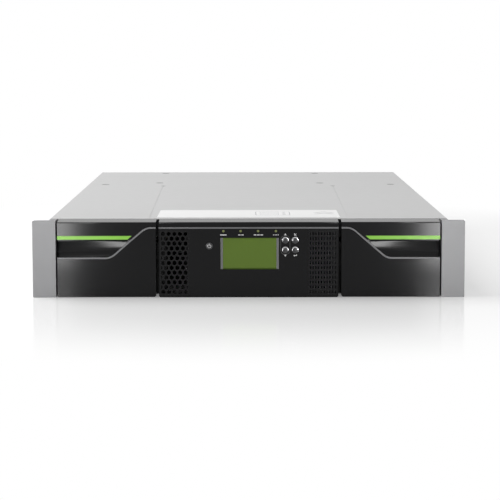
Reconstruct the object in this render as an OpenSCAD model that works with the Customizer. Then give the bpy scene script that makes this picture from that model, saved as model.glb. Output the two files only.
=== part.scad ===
/* [Rack mounting] */
// How far a rack ear stands out from the chassis side
ear_out = 17.8; // [17:0.1:20]
// Distance from the outer edge of an ear to the middle of its slots
slot_edge = 8.75; // [8:0.05:9.5]
// Upright distance between the ear slots
rack_pitch_z = 44.45; // [40:0.05:50]
// Width of one ear slot
rack_slot_w = 6.8; // [5:0.1:8]
// Length of one ear slot
rack_slot_l = 10.4; // [9:0.1:12]
// Thickness of the steel ear flange
flange_t = 2; // [1.5:0.1:3]
// Depth of the plastic cover in front of the ear flange
ear_cover_d = 7.8; // [6:0.1:10]

/* [Chassis] */
// Thickness of the sheet metal
sheet_t = 1.2; // [0.8:0.1:1.6]
// Depth of the plastic front outside the chassis
bezel_d = 28; // [26:0.5:34]
// Clear height above the magazines
top_clear = 2; // [1.2:0.1:4]
// Length of a drive sled inside the chassis
drive_l = 218.8; // [212:0.2:240]
// How far the rear pull handles stand out
handle_out = 34; // [28:1:45]
// Mouth diameter of the sunk screw dimples
dimple_d = 13.4; // [11:0.1:15]

/* [Cartridges] */
// Width of a cartridge across its slot
cartridge_w = 105.4; // [104:0.1:107]
// Depth of a cartridge into its slot
cartridge_l = 102; // [100:0.1:104]
// Height of a cartridge
cartridge_h = 21.5; // [20.5:0.1:22]
// Columns of slots in a magazine
columns = 4; // [3:1:4]
// Rows of slots in a magazine
rows = 3; // [3:1:3]

/* [Magazines] */
// Thickness of the upright dividers
divider_t = 1; // [0.8:0.1:1.4]
// Thickness of the shelves
shelf_t = 1.4; // [1:0.1:2]
// Thickness of the outer wall of a tray
tray_wall = 1.5; // [1.2:0.1:2]
// Room beside a cartridge in its slot
slot_side = 2.3; // [2.1:0.1:3]
// Room above a cartridge in its slot
slot_head = 2.5; // [2:0.1:3.5]
// Room behind a cartridge in its slot
slot_back = 5.3; // [3:0.1:8]
// Height of the floor guides under a tray
guide_h = 4.1; // [3.6:0.1:5]
// Length of tray between the front and the first slot
front_bay = 44.5; // [43:0.5:60]
// How far a magazine pulls out
magazine_pull = 470; // [300:10:480]

/* [Magazine fronts] */
// Width of the silver trim line
trim_w = 1.8; // [1.4:0.1:2.4]
// Height of the low level stretch of the trim line
trim_low_z = 44; // [42:0.5:46]
// Height from the high level stretch of the trim line to the top
trim_drop = 8; // [7:0.1:10]
// Distance from the inner edge of a front to the low corner of the trim line
trim_low_in = 50.8; // [47:0.2:56]
// Distance from the inner edge of a front to the high corner of the trim line
trim_high_in = 11.2; // [9:0.2:14]
// Radius of both bends of the trim line
trim_bend_r = 16; // [10:1:20]
// Height of the coloured stripe
stripe_h = 4; // [3:0.1:5]
// Height from the top of the stripe to the top of the front
stripe_drop = 17; // [16:0.2:19]
// Set-back of the face above the trim line
face_step = 1.6; // [1.2:0.1:2.4]
// How far the top of the fronts falls from the cover to their face
top_fall = 1.6; // [0.5:0.1:2]
// Depth of the hollow of the finger grip
cove_d = 8.3; // [7.5:0.1:9]
// Depth of the slot of the finger grip behind the stripe
grip_d = 15; // [13:0.5:18]
// Wall thickness of the plastic fronts
bezel_wall = 2.2; // [1.8:0.1:2.6]

/* [Control panel] */
// Half width of the control panel
panel_half = 100.3; // [99:0.1:102]
// Gap between the control panel and a magazine front
panel_gap = 3.3; // [2.5:0.1:4]
// Width of one vent field
vent_w = 30; // [28:0.5:31]
// Height of one vent field
vent_h = 70.6; // [60:0.2:71]
// Spacing of the vent holes
vent_pitch = 6.3; // [5.8:0.1:7]
// Width of one vent hole across its flats
vent_hole = 4.5; // [3.8:0.1:5]
// Width of the display window
display_w = 59.8; // [56:0.2:61]
// Height of the display window
display_h = 33.2; // [30:0.2:35]
// Diameter of a push key
key_d = 7.5; // [6.6:0.1:8]
// Travel of a push key
key_travel = 1; // [0.6:0.1:1.2]
// Spacing of the four keys
key_pitch = 11; // [10.4:0.1:12]

/* [Robot] */
// Radius of the turntable disc
turntable_r = 78; // [76:0.5:78.5]
// Diameter of the lift posts
post_d = 8; // [6:0.5:8]
// Distance of the lift posts from the turntable centre, each way
post_at = 80; // [79:0.5:81]
// Reach of the picker out of the turntable
picker_reach = 100; // [60:5:104]
// Tooth module of the travel rack and its pinion
tooth_m = 0.8; // [0.7:0.1:0.9]
// Teeth of the travel pinion
pinion_teeth = 17; // [15:1:19]
// Lead of the lift screw
screw_lead = 12; // [8:1:16]

/* [Hidden] */
$fn = 48;

// Clearances
run = 0.3;              // between bodies that move past each other
fit = 0.1;              // around pieces that seat in a pocket
over = 1;               // how far a cutter passes a face

// Levels of the magazines, from the floor sheet up
guide_top = sheet_t + guide_h;
tray_z = guide_top + run;
slot_z = tray_z + sheet_t;
row_pitch = cartridge_h + slot_head + shelf_t;
slot_h = row_pitch - shelf_t;
tray_top = slot_z + rows * row_pitch - shelf_t + sheet_t;
body_h = tray_top + top_clear + sheet_t;
ceiling_z = body_h - sheet_t;
lift_travel = (rows - 1) * row_pitch;

// Lines along the depth, from the front face back
tray_y = bezel_d - run;
column_pitch = cartridge_w + 2 * slot_side + divider_t;
first_y = bezel_d + front_bay + column_pitch / 2;
last_y = first_y + (columns - 1) * column_pitch;
tray_back = last_y + column_pitch / 2 + divider_t / 2;
frame_back = bezel_d + sheet_t;
carriage_half = 86.5;
drive_y = last_y + carriage_half + 0.5;
back_y = drive_y + drive_l + sheet_t;
key_proud = 0.7;
overall_d = key_proud + back_y + handle_out;

// Distances from the middle outwards
mag_in = panel_half + panel_gap;
tray_in = mag_in + 0.6;
tray_out = tray_in + cartridge_l + slot_back + tray_wall;
mag_out = tray_out + 0.7;
ear_gap = 1.8;
ear_block = 8;
ear_in = mag_out + ear_gap;
body_half = ear_in + ear_block;
inner_half = body_half - sheet_t;
rack_half = body_half + ear_out;
rack_pitch_x = 2 * (rack_half - slot_edge);
wall_fold = 10;
rear_fold = 9;

// Heights on the front
trim_high_z = body_h - trim_drop;
stripe_top = body_h - stripe_drop;
stripe_z = stripe_top - stripe_h;
grip_top = stripe_z - 0.6;
grip_z = grip_top - 2.2;
grip_rise = 4;
cove_r = 27;
trim_t = 2.4;
edge_r = 1;
cover_r = 2.4;
corner = 1.5;
roof_z = body_h - bezel_wall - top_fall;
bezel_foot = 0.6;

// Trim line: two bends between its level stretches
trim_low_x = mag_in + trim_low_in;
trim_high_x = mag_in + trim_high_in;
trim_slope = atan2(trim_high_z - trim_low_z, trim_low_x - trim_high_x);
trim_run = trim_bend_r * tan(trim_slope / 2);
bend_steps = 6;

// Robot
plate_z = sheet_t + run;
plate_t = 0.8;
disc_z = plate_z + plate_t + run;
disc_t = 1.2;
pinion_r = tooth_m * pinion_teeth / 2;
rack_pitch = PI * tooth_m;
rack_line = 98;
rack_top = 6;
plate_half = rack_line - tooth_m - run;
pinion_x = rack_line - pinion_r;
pinion_y = 66;
screw_d = 6;
screw_x = 90;
screw_y = 64;
post_top = ceiling_z - 4.4;
bush_h = 12;
arm_z = 6.6;
arm_t = 1.4;
robot_y = last_y;
finger_in = cartridge_w / 2 + 0.4;
finger_t = 1.1;

// Drives
drive_w = 146;
drive_h = 41.3;
drive_z = sheet_t + run;
drive_z2 = drive_z + drive_h + 0.4;
mouth_w = 110;
mouth_h = 24;
mouth_rise = 4.5;
mouth_d = 62;
bay_half = drive_w / 2 + 3;

// Rear modules
psu_in = bay_half + 19;
psu_out = inner_half - rear_fold - 0.8;
psu_d = 206;
psu_z = sheet_t + run;
psu_h = ceiling_z - 2.3 - psu_z;
fan_r = 29;
fan_x = -(psu_in + fan_r + 12);
fan_z = body_h / 2;
inlet_x = -(psu_out - 22.5);
inlet_z = 24;
controller_d = 150;
board_rise = 12;
board_t = 1.6;

// Moves a front-origin model so that the box's bottom centre is the origin
module placed() { translate([0, key_proud - overall_d / 2, 0]) children(); }
module side(s) { mirror([s < 0 ? 1 : 0, 0, 0]) children(); }
// Box between two corners
module slab(x0, x1, y0, y1, z0, z1) {
    translate([x0, y0, z0]) cube([x1 - x0, y1 - y0, z1 - z0]);
}
// Rod or round hole along Y from y0 to y1
module along_y(x, z, y0, y1, r) {
    translate([x, y0, z]) rotate([-90, 0, 0]) cylinder(r = r, h = y1 - y0);
}
// Flat outline in X and Z made solid from y0 to y1
module front_profile(y0, y1) {
    translate([0, y1, 0]) rotate([90, 0, 0]) linear_extrude(height = y1 - y0) children();
}
// Flat outline in Y and Z made solid from x0 to x1
module side_profile(x0, x1) {
    translate([x0, 0, 0]) rotate([90, 0, 90]) linear_extrude(height = x1 - x0) children();
}

// ---- chassis ----

screw_spots = [[-200, 526], [200, 526], [-125.3, 556], [101.6, 552], [-125.3, 745],
    [101.7, 742]];
front_screws = [[-117.5, 499], [117.5, 499]];

// Base sheet, and a folded side wall standing on each edge of it
module chassis_tray() {
    color("gainsboro") placed() {
        slab(-body_half, body_half, bezel_d, back_y, 0, sheet_t);
        for (s = [-1, 1]) side(s) difference() {
            union() {
                slab(inner_half, body_half, bezel_d, back_y, sheet_t + fit, ceiling_z);
                slab(inner_half - wall_fold, body_half, bezel_d, back_y, ceiling_z - sheet_t, ceiling_z);
                slab(inner_half - rear_fold, body_half, back_y - 2 * sheet_t, back_y - sheet_t,
                    sheet_t + fit, ceiling_z);
            }
            rear_holes(back_y - 3 * sheet_t);
        }
    }
}

crease_in = 112;
crease_w = 1.2;
crease_t = 0.3;

module top_cover() {
    color("silver") placed() difference() {
        union() {
            slab(-body_half, body_half, bezel_d + cover_r, back_y, ceiling_z, body_h);
            slab(-body_half, body_half, bezel_d, bezel_d + cover_r + over, ceiling_z, body_h - sheet_t / 2);
            translate([-body_half, bezel_d + sheet_t, body_h - sheet_t]) rotate([0, 90, 0])
                cylinder(r = sheet_t, h = 2 * body_half);
            slab(-body_half, body_half, bezel_d + sheet_t, bezel_d + cover_r + over, ceiling_z, body_h);
        }
        slab(-body_half - over, body_half + over, bezel_d - over, bezel_d + cover_r + over,
            ceiling_z - 2 * sheet_t, ceiling_z);
        for (s = screw_spots) translate([s[0], s[1], body_h - sheet_t * 0.75])
            cylinder(r1 = dimple_d / 2 - 2.6, r2 = dimple_d / 2, h = sheet_t * 0.75 + 0.01);
        for (s = screw_spots) translate([s[0], s[1], ceiling_z - over]) cylinder(r = 1.7, h = body_h);
        for (s = front_screws) translate([s[0], s[1], ceiling_z - over]) cylinder(r = 1.7, h = body_h);
        for (s = front_screws) translate([s[0], s[1], ceiling_z + 0.3]) cylinder(r = 3.5, h = body_h);
        for (s = front_screws) hull() {
            translate([sign(s[0]) * crease_in, bezel_d + 8, body_h - crease_t]) cylinder(d = crease_w, h = 1);
            translate([s[0], s[1] - 8, body_h - crease_t]) cylinder(d = crease_w, h = 1);
        }
    }
}

module cover_screw(x, y, head_z, shank, head_r) {
    translate([x, y, head_z]) cylinder(r1 = head_r - 1.8, r2 = head_r, h = 0.8);
    translate([x, y, head_z - shank]) cylinder(r = 1.5, h = shank + 0.5);
}

module rear_screw(x, z) {
    along_y(x, z, back_y, back_y + 1.6, 3);
    along_y(x, z, back_y - 5, back_y + 1, 1.5);
}

ear_fold = 1.5;
ear_screw_y = bezel_d + 14;
ear_screw_pitch = 27;
rear_x = [bay_half + 10, inner_half - rear_fold / 2];
rear_z = [10, body_h - 10];

// Screw holes along the rear edge of one side
module rear_holes(y) {
    for (x = rear_x) for (z = rear_z) along_y(x, z, y - over, back_y + over, 1.5 + fit);
}

module chassis_screws() {
    color("dimgray") placed() {
        for (s = screw_spots) cover_screw(s[0], s[1], ceiling_z + sheet_t * 0.25, 2.2, dimple_d / 2 - 1.7);
        for (s = front_screws) cover_screw(s[0], s[1], ceiling_z + 0.3, 1.4, 3.3);
        for (s = [-1, 1]) for (x = rear_x) for (z = rear_z) rear_screw(s * x, z);
        for (s = [-1, 1]) for (k = [-1:1]) side(s)
            translate([body_half + ear_fold, ear_screw_y, body_h / 2 + k * ear_screw_pitch])
                rotate([0, 90, 0]) cylinder(r = 2.8, h = 1.4);
    }
}

// ---- front frame and ears ----

module front_frame() {
    color("black") placed() {
        difference() {
            slab(-inner_half, inner_half, bezel_d, frame_back, sheet_t, ceiling_z - sheet_t);
            for (s = [-1, 1]) side(s)
                slab(tray_in - run, tray_out + run, bezel_d - over, frame_back + over,
                    tray_z - run, tray_top + run);
            for (s = [-1, 1]) side(s) {
                slab(striker_x - run, tray_in, bezel_d - over, frame_back + over, striker_z - run,
                    striker_z + striker_h + run);
                slab(vent_x - vent_w / 2, latch_x - tab_half - 0.5, bezel_d - over, frame_back + over,
                    vent_z, vent_z + vent_h - 4);
            }
            slab(display_x - display_w / 2 - 4, display_x + display_w / 2 + 4, bezel_d - over,
                frame_back + over, display_z - 18, display_z + 18);
        }
        for (s = [-1, 1]) side(s) for (z = latch_tabs) difference() {
            union() {
                slab(latch_x - tab_half, latch_x + tab_half, frame_back, latch_y, z, z + sheet_t);
                translate([latch_x, latch_y, z]) cylinder(r = tab_half, h = sheet_t);
            }
            if (z == latch_tabs[0]) translate([latch_x, latch_y, z + 0.6]) cylinder(r = 1.5 + fit / 2, h = 1);
            if (z == latch_tabs[1]) translate([latch_x, latch_y, z - 0.4]) cylinder(r = 1.5 + fit / 2, h = 1);
        }
    }
}

module ear_bracket() {
    difference() {
        union() {
            slab(body_half, rack_half, ear_cover_d, ear_cover_d + flange_t, 0, body_h);
            slab(body_half, body_half + ear_fold, ear_cover_d, ear_screw_y + 20, 3, body_h - 3);
        }
        for (z = [-1, 1]) translate([rack_pitch_x / 2, 0, body_h / 2 + z * rack_pitch_z / 2])
            front_profile(ear_cover_d - over, ear_cover_d + flange_t + over) union() {
                for (e = [-1, 1]) translate([e * (rack_slot_l - rack_slot_w) / 2, 0])
                    circle(d = rack_slot_w);
                square([rack_slot_l - rack_slot_w, rack_slot_w], center = true);
            }
    }
}

module left_ear_bracket() { color("gray") placed() side(-1) ear_bracket(); }
module right_ear_bracket() { color("gray") placed() side(1) ear_bracket(); }

module ear_cover() {
    r = 1.2;
    difference() {
        union() {
            front_profile(0, ear_cover_d) hull() for (x = [ear_in + r, rack_half - r])
                for (z = [r, body_h - r]) translate([x, z]) circle(r = r, $fn = 32);
            slab(ear_in, body_half - 0.1, ear_cover_d - over, tray_y, 0, body_h);
        }
        slab(body_half, rack_half - bezel_wall, bezel_wall, ear_cover_d + over, 4, body_h - 4);
        slab(ear_in + bezel_wall, body_half - bezel_wall, bezel_wall, tray_y + over, 4, body_h - 4);
    }
}

module left_ear_cover() { color("darkgray") placed() side(-1) ear_cover(); }
module right_ear_cover() { color("darkgray") placed() side(1) ear_cover(); }

// ---- control panel ----

vent_x = panel_half - vent_w / 2 - 2.3;
vent_z = 3.5;
display_x = 1.1;
display_z = 49.7;
light_x = [-28.2, -9, 10.5, 30.4];
light_z = body_h - 11.6;
key_x = 40.9;
key_z = 64.3;
power_x = -43.9;
power_z = 57.7;
key_spots = [[key_x, key_z], [key_x, key_z - key_pitch], [key_x + key_pitch, key_z],
    [key_x + key_pitch, key_z - key_pitch], [power_x, power_z]];
bar_w = 2.7;
grille_rim = 1.2;

module vent_outline(grow) {
    square([vent_w + 2 * grow, vent_h + 2 * grow], center = true);
}

// Space over the falling top of a front, with its rounded edge
module above_top(x0, x1) {
    edge_y = face_step + edge_r;
    edge_z = body_h - top_fall - edge_r;
    side_profile(x0, x1) difference() {
        polygon([[face_step - over, edge_z], [face_step - over, body_h + over], [bezel_d + over, body_h + over],
            [bezel_d + over, body_h], [edge_y, edge_z + edge_r], [edge_y, edge_z]]);
        translate([edge_y, edge_z]) circle(r = edge_r);
    }
}

// Slant cut off a lower corner of a front
module lower_corner(x, z, d) {
    front_profile(-over, bezel_d + over) polygon([[x + d * corner, z - over], [x + d * corner, z],
        [x, z + corner], [x - d * over, z + corner], [x - d * over, z - over]]);
}

module control_bezel() {
    color("dimgray") placed() difference() {
        slab(-panel_half, panel_half, 0, tray_y, 0, body_h);
        slab(-panel_half + bezel_wall, panel_half - bezel_wall, bezel_wall + face_step, tray_y + over,
            bezel_wall, roof_z);
        slab(-panel_half + bezel_wall, panel_half - bezel_wall, bezel_wall, bezel_wall + face_step + over,
            bezel_wall, trim_high_z - trim_w);
        slab(-panel_half - over, panel_half + over, -over, face_step, trim_high_z, body_h + over);
        slab(-panel_half - over, panel_half + over, -over, trim_t + 0.1, trim_high_z - trim_w / 2,
            trim_high_z + trim_w / 2);
        above_top(-panel_half - over, panel_half + over);
        for (s = [-1, 1]) side(s) lower_corner(panel_half, 0, -1);
        for (s = [-1, 1]) translate([s * vent_x, 0, vent_z + vent_h / 2])
            front_profile(-over, bezel_wall + over) vent_outline(grille_rim + fit);
        slab(display_x - display_w / 2 - bar_w - fit, display_x + display_w / 2 + bar_w + fit,
            -over, bezel_wall + over, display_z - display_h / 2 - 1.6, display_z + display_h / 2 + 0.7);
        for (k = key_spots) along_y(k[0], k[1], -over, bezel_wall + over, key_d / 2 + 0.2);
        for (x = light_x) along_y(x, light_z, -over, bezel_wall + over, 1.3 + fit);
    }
}

// Field of six-sided holes on staggered rows, cut off at the field's edge
module hex_field(w, h, pitch, across, shift = 0) {
    row = pitch * sqrt(3) / 2;
    half_rows = floor(h / 2 / row);
    half_cols = floor(w / 2 / pitch) + 1;
    intersection() {
        square([w, h], center = true);
        union() for (j = [-half_rows:half_rows]) for (i = [-half_cols:half_cols])
            translate([(i + (j % 2 == 0 ? 0 : 0.5)) * pitch + shift, j * row]) rotate(30)
                circle(d = across / cos(30), $fn = 6);
    }
}

module vent_grilles() {
    color("black") placed() for (s = [-1, 1]) translate([s * vent_x, 0, vent_z + vent_h / 2])
        front_profile(0.2, bezel_wall) difference() {
            vent_outline(grille_rim);
            hex_field(vent_w, vent_h, vent_pitch, vent_hole);
        }
}

screen_hole = vent_hole + 0.7;
screen_shift = [0.7, vent_pitch / 2];

module vent_screens() {
    color("gray") placed() for (k = [0, 1]) translate([(2 * k - 1) * vent_x, 0, vent_z + vent_h / 2])
        front_profile(bezel_wall, bezel_wall + 0.8) difference() {
            vent_outline(grille_rim - 0.1);
            hex_field(vent_w - 1, vent_h - 1, vent_pitch, screen_hole, screen_shift[k]);
        }
}

module centre_trim() {
    color("gray") placed() slab(-panel_half, panel_half, 0.1, trim_t, trim_high_z - trim_w / 2 + fit / 2,
        trim_high_z + trim_w / 2 - fit / 2);
}

module display_frame() {
    color("darkgray") placed() for (s = [-1, 1]) {
        x0 = display_x + s * (display_w / 2 + bar_w / 2);
        slab(x0 - bar_w / 2 + fit, x0 + bar_w / 2, 0.3, bezel_wall, display_z - display_h / 2 - 1.5,
            display_z + display_h / 2 + 0.6);
    }
}

module display() {
    color("olivedrab") placed() {
        slab(display_x - display_w / 2, display_x + display_w / 2, 1.2, bezel_wall + 6,
            display_z - display_h / 2, display_z + display_h / 2);
        slab(display_x - 33, display_x + 33, bezel_wall + 2.2, bezel_wall + 6.4, display_z - 20,
            display_z + 20);
    }
}

module status_lights() {
    color("yellowgreen") placed() for (x = light_x) {
        along_y(x, light_z, 0.2, bezel_wall + 3, 1.3);
        along_y(x, light_z, bezel_wall, bezel_wall + 1.2, 1.7);
    }
}

board_y = bezel_wall + 8.6;
board_x0 = power_x - 12;
board_x1 = key_x + key_pitch + 10;
board_half = 26;
spacer_in = 4;
spacer_spots = [for (x = [board_x0 + spacer_in, board_x1 - spacer_in])
    for (k = [-1, 1]) [x, display_z + k * (board_half - spacer_in)]];

module keypad_board() {
    color("darkgreen") placed() {
        difference() {
            slab(board_x0, board_x1, board_y, board_y + board_t, display_z - board_half, display_z + board_half);
            for (p = spacer_spots) along_y(p[0], p[1], board_y - over, board_y + 3, 1.6);
        }
        for (k = key_spots) slab(k[0] - 3, k[0] + 3, bezel_wall + 2.9 + key_travel, board_y, k[1] - 3, k[1] + 3);
        for (x = light_x) slab(x - 1.6, x + 1.6, bezel_wall + 3.1, board_y, light_z - 1.6, light_z + 1.6);
        for (p = spacer_spots) along_y(p[0], p[1], bezel_wall, board_y, 3);
    }
}

// Push key: domed front, round shank and a collar behind the panel
module push_key(spot) {
    r = key_d / 2;
    translate([spot[0], 0, spot[1]]) rotate([-90, 0, 0]) rotate_extrude() polygon(concat(
        [for (i = [0:4]) [r * sin(i * 18), key_proud * (sin(i * 18) - 1)]],
        [[r, 0], [r, bezel_wall + run], [r + 1.2, bezel_wall + run], [r + 1.2, bezel_wall + 1.5],
        [2, bezel_wall + 1.5], [2, bezel_wall + 2.6], [0, bezel_wall + 2.6]]));
}

module up_key() { color("silver") placed() push_key(key_spots[0]); }
module down_key() { color("silver") placed() push_key(key_spots[1]); }
module cancel_key() { color("silver") placed() push_key(key_spots[2]); }
module enter_key() { color("silver") placed() push_key(key_spots[3]); }
module power_button() { color("black") placed() push_key(key_spots[4]); }

// ---- magazines, drawn for the right side ----

// One edge of the trim line, d above its middle, from the outer end inwards
function trim_edge(d) = concat(
    [[mag_out, trim_low_z + d]],
    [for (i = [0:bend_steps]) let (a = -90 - trim_slope * i / bend_steps)
        [trim_low_x + trim_run + (trim_bend_r - d) * cos(a),
         trim_low_z + trim_bend_r + (trim_bend_r - d) * sin(a)]],
    [for (i = [0:bend_steps]) let (a = 90 - trim_slope + trim_slope * i / bend_steps)
        [trim_high_x - trim_run + (trim_bend_r + d) * cos(a),
         trim_high_z - trim_bend_r + (trim_bend_r + d) * sin(a)]],
    [[mag_in, trim_high_z + d]]);
function reversed(l) = [for (i = [len(l) - 1:-1:0]) l[i]];

module trim_band(half) { polygon(concat(trim_edge(half), reversed(trim_edge(-half)))); }
module above_trim(d) {
    polygon(concat(trim_edge(d), [[mag_in, body_h + over], [mag_out, body_h + over]]));
}

module stripe_outline(grow) {
    intersection() {
        translate([mag_in, stripe_z - grow]) square([mag_out - mag_in, stripe_h + 2 * grow]);
        above_trim(trim_w / 2 + 2.6 - grow);
    }
}

// Part of the face between the trim line and a level line
module grip_outline(d, z0, z1, x1) {
    intersection() {
        above_trim(trim_w / 2 + d);
        translate([mag_in, z0]) square([x1 - mag_in, z1 - z0]);
    }
}

// Finger grip: a hollow in the face, and a slot over it that rises behind the stripe
module finger_grip() {
    intersection() {
        translate([mag_in, cove_d - cove_r, grip_z]) rotate([0, 90, 0])
            cylinder(r = cove_r, h = mag_out - mag_in, $fn = 96);
        front_profile(-over, cove_r) grip_outline(-0.1, 0, grip_top, mag_out);
    }
    front_profile(0, grip_d) grip_outline(1, grip_z, grip_top, mag_out);
    front_profile(face_step + 3.2, grip_d)
        grip_outline(1, grip_z, grip_top + grip_rise, mag_out - bezel_wall);
}

module magazine_bezel() {
    cavity_in = mag_in + bezel_wall;
    cavity_out = mag_out - bezel_wall;
    difference() {
        slab(mag_in, mag_out, 0, tray_y, bezel_foot, body_h);
        front_profile(-over, face_step) above_trim(trim_w / 2 - 0.3);
        front_profile(-over, trim_t + 0.1) trim_band(trim_w / 2);
        above_top(mag_in - over, mag_out + over);
        lower_corner(mag_in, bezel_foot, 1);
        front_profile(-over, face_step + 1.7) stripe_outline(fit / 2);
        finger_grip();
        slab(cavity_in, cavity_out, bezel_wall + 1, tray_y + over, bezel_foot + bezel_wall, trim_low_z - 3.4);
        slab(cavity_in, cavity_out, grip_d + bezel_wall, tray_y + over, trim_low_z, roof_z);
        slab(cavity_in, cavity_out, face_step + bezel_wall + 1.4, tray_y + over, stripe_top + 1.2, roof_z);
    }
}

module magazine_stripe() { front_profile(face_step - 0.6, face_step + 1.6) stripe_outline(0); }
module magazine_trim() { front_profile(0.1, trim_t) trim_band(trim_w / 2 - fit / 2); }

latch_x = mag_in - 6.6;
latch_y = frame_back + 5.8;
latch_z = 61;
latch_tabs = [latch_z - 1.5, latch_z + 3.3];
tab_half = 3.5;
latch_open = 14;
hook_y = 12;
hook_w = 5;
striker_x = tray_in - 3;
striker_y = latch_y + hook_y + hook_w + 1;
striker_z = latch_z - 1;
striker_h = 5;
hook_tip = tray_in - latch_x - 0.5;

// Tray, open to the robot, with a striker block for the latch on its inner wall
module magazine_tray() {
    difference() {
        slab(tray_in, tray_out, tray_y, tray_back, tray_z, tray_top);
        slab(tray_in - over, tray_out - tray_wall, bezel_d + front_bay - divider_t / 2 - 1.2, tray_back + over,
            slot_z, tray_top - sheet_t);
        slab(tray_in + sheet_t, tray_out - tray_wall, tray_y + sheet_t, bezel_d + front_bay,
            slot_z, tray_top - sheet_t);
    }
    slab(striker_x, tray_in - fit, striker_y, striker_y + 3.5, striker_z, striker_z + striker_h);
}

module magazine_dividers() {
    for (k = [0:columns]) translate([tray_in, first_y + (k - 0.5) * column_pitch - divider_t / 2, slot_z])
        cube([tray_out - tray_wall - tray_in, divider_t, tray_top - sheet_t - slot_z]);
}

module magazine_shelves() {
    for (k = [0:columns - 1]) for (r = [1:rows - 1])
        translate([tray_in, first_y + (k - 0.5) * column_pitch + divider_t / 2,
            slot_z + r * row_pitch - shelf_t])
            cube([tray_out - tray_wall - tray_in, column_pitch - divider_t, shelf_t]);
}

module left_magazine_bezel() { color("dimgray") placed() side(-1) magazine_bezel(); }
module right_magazine_bezel() { color("dimgray") placed() side(1) magazine_bezel(); }
module left_magazine_stripe() { color("yellowgreen") placed() side(-1) magazine_stripe(); }
module right_magazine_stripe() { color("yellowgreen") placed() side(1) magazine_stripe(); }
module left_magazine_trim() { color("silver") placed() side(-1) magazine_trim(); }
module right_magazine_trim() { color("silver") placed() side(1) magazine_trim(); }
module left_magazine_tray() { color("gray") placed() side(-1) magazine_tray(); }
module right_magazine_tray() { color("gray") placed() side(1) magazine_tray(); }
module left_magazine_dividers() { color("lightgray") placed() side(-1) magazine_dividers(); }
module right_magazine_dividers() { color("lightgray") placed() side(1) magazine_dividers(); }
module left_magazine_shelves() { color("lightgray") placed() side(-1) magazine_shelves(); }
module right_magazine_shelves() { color("lightgray") placed() side(1) magazine_shelves(); }

// Latch lever on an upright pin, drawn swung open
module magazine_latch() {
    translate([latch_x, latch_y, latch_z]) rotate([0, 0, latch_open]) {
        linear_extrude(height = 3) union() {
            circle(r = 3.2);
            translate([-1.5, 0]) square([3, hook_y + hook_w]);
            polygon([[0, hook_y], [hook_tip, hook_y + 1.5], [hook_tip, hook_y + hook_w], [0, hook_y + hook_w]]);
        }
        translate([0, 0, -0.9]) cylinder(r = 1.5, h = 4.8);
    }
}

module left_magazine_latch() { color("gold") placed() side(-1) magazine_latch(); }
module right_magazine_latch() { color("gold") placed() side(1) magazine_latch(); }

module magazine_guides() {
    color("dimgray") placed() for (s = [-1, 1]) side(s) {
        slab(tray_in + 1, tray_in + 9, frame_back + 1, tray_back, sheet_t, guide_top);
        slab(tray_out - 9, tray_out + run - fit, frame_back + 1, tray_back, sheet_t, guide_top);
        slab(tray_out + run, tray_out + run + 1.6, frame_back + 1, tray_back, sheet_t, guide_top + 10);
        difference() {
            union() {
                slab(tray_in + 1, inner_half - wall_fold - run, tray_back + run, tray_back + run + sheet_t,
                    sheet_t, ceiling_z);
                slab(tray_out - 28, inner_half - wall_fold - run, tray_back + run, tray_back + 20,
                    ceiling_z - sheet_t, ceiling_z);
            }
            for (p = screw_spots) translate([s * p[0], p[1], ceiling_z - 5]) cylinder(r = 1.6, h = 6);
        }
    }
}

// ---- robot ----

rail_front = frame_back + 1;
rail_back = drive_y - 1;

module robot_rails() {
    teeth = floor((rail_back - rail_front) / rack_pitch) - 1;
    start = pinion_mesh_y - floor((pinion_mesh_y - rail_front) / rack_pitch) * rack_pitch;
    color("dimgray") placed() {
        slab(-rack_line - 3.4, -rack_line + tooth_m, rail_front, rail_back, sheet_t, rack_top);
        slab(rack_line + 1, rack_line + 3.4, rail_front, rail_back, sheet_t, rack_top);
        translate([0, 0, sheet_t]) linear_extrude(height = rack_top - sheet_t)
            polygon(concat([[rack_line + 1.2, rail_front]],
                [for (i = [0:teeth - 1]) for (p = rack_tooth) [rack_line + p[0], start + i * rack_pitch + p[1]]],
                [[rack_line + 1.2, rail_back]]));
    }
}

// Half widths of a rack tooth at its foot and its tip, around its middle
foot_half = rack_pitch / 4 + tooth_m * tan(20) - 0.08;
tip_half = rack_pitch / 4 - tooth_m * tan(20) - 0.08;
rack_tooth = [[1, -foot_half - 0.06], [-tooth_m, -tip_half], [-tooth_m, tip_half], [1, foot_half + 0.06]];
pinion_mesh_y = robot_y + pinion_y;

module carriage_frame() {
    color("silver") placed() translate([0, robot_y, 0]) {
        difference() {
            slab(-plate_half, plate_half, -carriage_half, carriage_half, plate_z, plate_z + plate_t);
            for (a = [0:60:300]) rotate(a) translate([post_at * 0.55, 0, plate_z - over])
                cylinder(r = post_at / 5, h = 3);
            translate([-screw_x, -screw_y, plate_z - over]) cylinder(r = 1.5 + fit, h = 3);
            translate([pinion_x, pinion_y, plate_z - over]) cylinder(r = 1.5 + fit, h = 3);
            for (i = [-1, 1]) for (j = [-1, 1]) translate([i * post_at, j * post_at, plate_z - over])
                cylinder(d = post_d - 2, h = 3);
        }
        slab(-plate_half, -plate_half + 1.2, -carriage_half, carriage_half, plate_z, rack_top);
        slab(plate_half - 1.2, plate_half, -carriage_half, pinion_y - pinion_r - 3, plate_z, rack_top);
    }
}

module lift_posts() {
    color("silver") placed() translate([0, robot_y, 0]) for (i = [-1, 1]) for (j = [-1, 1])
        translate([i * post_at, j * post_at, plate_z + plate_t]) cylinder(d = post_d, h = post_top - plate_z - plate_t);
}

module carriage_top() {
    color("silver") placed() translate([0, robot_y, post_top]) linear_extrude(height = sheet_t) difference() {
        square([2 * plate_half, 2 * carriage_half], center = true);
        square([2 * (post_at - 8), 2 * (post_at - 8)], center = true);
    }
}

motor_d = 17.4;
motor_h = 24;
motor_z = 9.4;

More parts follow.
